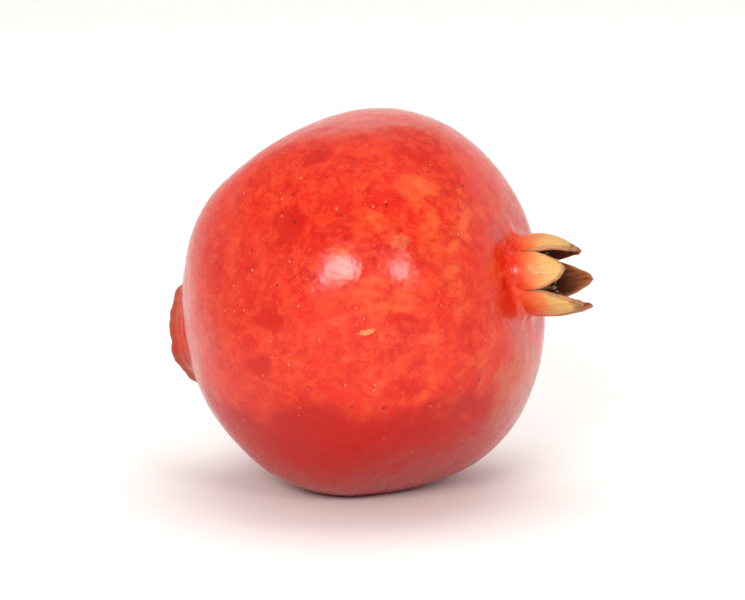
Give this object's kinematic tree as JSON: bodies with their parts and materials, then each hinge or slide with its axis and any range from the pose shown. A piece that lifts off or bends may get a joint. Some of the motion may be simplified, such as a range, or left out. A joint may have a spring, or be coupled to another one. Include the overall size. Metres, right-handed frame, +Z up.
{
  "type": "pomegranate",
  "caption": "Whole fresh pomegranate lying on its side, with a hollow crown of thick sepals, dried stamens in it and a cut stalk stub at the other end.",
  "frame": {"origin": "middle of the flat spot underneath that the fruit rests on", "axes": "+Z up, +X towards the crown end, which points 18 degrees from +X towards -Y; the front of the fruit faces -Y"},
  "size_m": [0.1023, 0.0926, 0.0912],
  "materials": {
    "rind": "semi-gloss, leathery fresh rind",
    "stalk": "matte dry bark",
    "stamens": "matte, dried"
  },
  "bodies": {
    "root": {"fruit": "rind", "stalk_stub": "stalk", "stamens": "stamens"}
  },
  "joints": []
}
